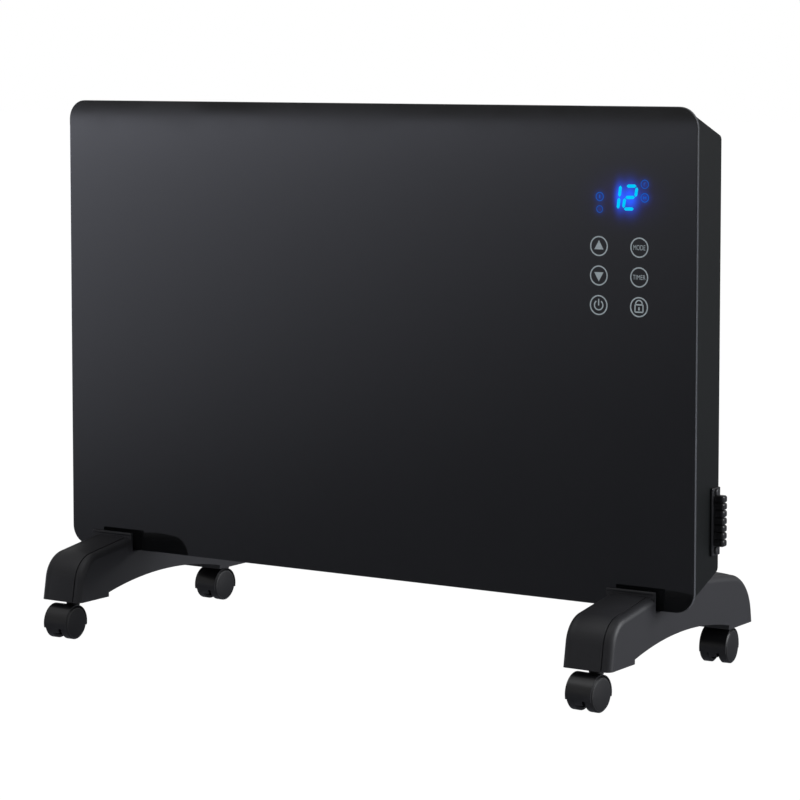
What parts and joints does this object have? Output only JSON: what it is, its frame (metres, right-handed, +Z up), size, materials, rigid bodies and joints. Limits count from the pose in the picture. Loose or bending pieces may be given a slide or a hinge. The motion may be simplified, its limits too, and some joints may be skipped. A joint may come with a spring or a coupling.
{
  "type": "convector heater",
  "caption": "Slim glass-fronted convector heater: flat black panel with touch keys, shallow louvred steel case, arched moulded feet on swivelling twin-wheel castors.",
  "frame": {"origin": "on the floor under the middle of the whole heater", "axes": "+X to the right seen from the front, +Y from the front to the back, +Z up"},
  "size_m": [0.7074, 0.2922, 0.5273],
  "materials": {
    "black_glass": "black printed glass, glossy",
    "silicone": "matt",
    "black_steel": "satin black powder coat",
    "plain_steel": "zinc plated",
    "circuit_board": "solder mask",
    "white_plastic": "moulded",
    "display": "smoked",
    "aluminium": "mill finish",
    "ceramic": "glazed ceramic",
    "device_plastic": "moulded",
    "device_metal": "plated",
    "black_plastic": "satin",
    "black_screw": "blackened",
    "sensor": "epoxy bead",
    "foot_plastic": "satin moulded",
    "castor_nylon": "nylon"
  },
  "bodies": {
    "heater": {"glass_panel": "black_glass", "glass_bond": "silicone", "rear_case": "black_steel", "front_plate": "plain_steel", "touch_board": "circuit_board", "board_carrier": "white_plastic", "touch_springs": "plain_steel", "display_module": "display", "heating_element": "aluminium", "heat_shield": "aluminium", "thermal_cutout": "device_plastic", "thermal_fuse": "device_metal", "tip_switch": "white_plastic", "compartment_wall": "plain_steel", "power_board": "circuit_board", "board_standoffs": "white_plastic", "relays": "device_plastic", "terminal_block": "white_plastic", "switch_housing": "black_plastic", "cord_gland": "black_plastic", "gland_nut": "plain_steel", "sensor_guard": "black_plastic", "guard_screws": "black_screw", "room_sensor": "sensor", "element_insulator_left": "ceramic", "element_terminal_left": "plain_steel", "element_bracket_left": "plain_steel", "foot_left": "foot_plastic", "foot_screws_left": "plain_steel", "foot_nuts_left": "plain_steel", "element_insulator_right": "ceramic", "element_terminal_right": "plain_steel", "element_bracket_right": "plain_steel", "foot_right": "foot_plastic", "foot_screws_right": "plain_steel", "foot_nuts_right": "plain_steel"},
    "rocker": {"rocker": "black_plastic"},
    "castor_front_right": {"castor_hood_front_right": "castor_nylon", "castor_stem_front_right": "plain_steel", "castor_axle_front_right": "plain_steel"},
    "wheel_front_right_a": {"wheel_front_right_a": "castor_nylon"},
    "wheel_front_right_b": {"wheel_front_right_b": "castor_nylon"},
    "castor_front_left": {"castor_hood_front_left": "castor_nylon", "castor_stem_front_left": "plain_steel", "castor_axle_front_left": "plain_steel"},
    "wheel_front_left_a": {"wheel_front_left_a": "castor_nylon"},
    "wheel_front_left_b": {"wheel_front_left_b": "castor_nylon"},
    "castor_rear_right": {"castor_hood_rear_right": "castor_nylon", "castor_stem_rear_right": "plain_steel", "castor_axle_rear_right": "plain_steel"},
    "wheel_rear_right_a": {"wheel_rear_right_a": "castor_nylon"},
    "wheel_rear_right_b": {"wheel_rear_right_b": "castor_nylon"},
    "castor_rear_left": {"castor_hood_rear_left": "castor_nylon", "castor_stem_rear_left": "plain_steel", "castor_axle_rear_left": "plain_steel"},
    "wheel_rear_left_a": {"wheel_rear_left_a": "castor_nylon"},
    "wheel_rear_left_b": {"wheel_rear_left_b": "castor_nylon"}
  },
  "joints": [
    {"name": "mains_rocker", "type": "hinge", "parent": "heater", "child": "rocker", "pos_m": [0.23, 0.02359, 0.18], "axis": [1, 0, 0], "range_deg": [-18, 0]},
    {"name": "swivel_front_right", "type": "hinge", "parent": "heater", "child": "castor_front_right", "pos_m": [0.2955, -0.11521, 0], "axis": [0, 0, 1], "continuous": true},
    {"name": "roll_front_right_a", "type": "hinge", "parent": "castor_front_right", "child": "wheel_front_right_a", "pos_m": [0.29469, -0.12768, 0.016], "axis": [0.9979, -0.0645, 0], "continuous": true},
    {"name": "roll_front_right_b", "type": "hinge", "parent": "castor_front_right", "child": "wheel_front_right_b", "pos_m": [0.29469, -0.12768, 0.016], "axis": [0.9979, -0.0645, 0], "continuous": true},
    {"name": "swivel_front_left", "type": "hinge", "parent": "heater", "child": "castor_front_left", "pos_m": [-0.2955, -0.11521, 0], "axis": [0, 0, 1], "continuous": true},
    {"name": "roll_front_left_a", "type": "hinge", "parent": "castor_front_left", "child": "wheel_front_left_a", "pos_m": [-0.29511, -0.1277, 0.016], "axis": [0.9995, 0.0314, 0], "continuous": true},
    {"name": "roll_front_left_b", "type": "hinge", "parent": "castor_front_left", "child": "wheel_front_left_b", "pos_m": [-0.29511, -0.1277, 0.016], "axis": [0.9995, 0.0314, 0], "continuous": true},
    {"name": "swivel_rear_right", "type": "hinge", "parent": "heater", "child": "castor_rear_right", "pos_m": [0.2955, 0.13279, 0], "axis": [0, 0, 1], "continuous": true},
    {"name": "roll_rear_right_a", "type": "hinge", "parent": "castor_rear_right", "child": "wheel_rear_right_a", "pos_m": [0.2967, 0.12035, 0.016], "axis": [0.9954, 0.0958, 0], "continuous": true},
    {"name": "roll_rear_right_b", "type": "hinge", "parent": "castor_rear_right", "child": "wheel_rear_right_b", "pos_m": [0.2967, 0.12035, 0.016], "axis": [0.9954, 0.0958, 0], "continuous": true},
    {"name": "swivel_rear_left", "type": "hinge", "parent": "heater", "child": "castor_rear_left", "pos_m": [-0.2955, 0.13279, 0], "axis": [0, 0, 1], "continuous": true},
    {"name": "roll_rear_left_a", "type": "hinge", "parent": "castor_rear_left", "child": "wheel_rear_left_a", "pos_m": [-0.29615, 0.12031, 0.016], "axis": [0.9986, -0.0523, 0], "continuous": true},
    {"name": "roll_rear_left_b", "type": "hinge", "parent": "castor_rear_left", "child": "wheel_rear_left_b", "pos_m": [-0.29615, 0.12031, 0.016], "axis": [0.9986, -0.0523, 0], "continuous": true}
  ]
}
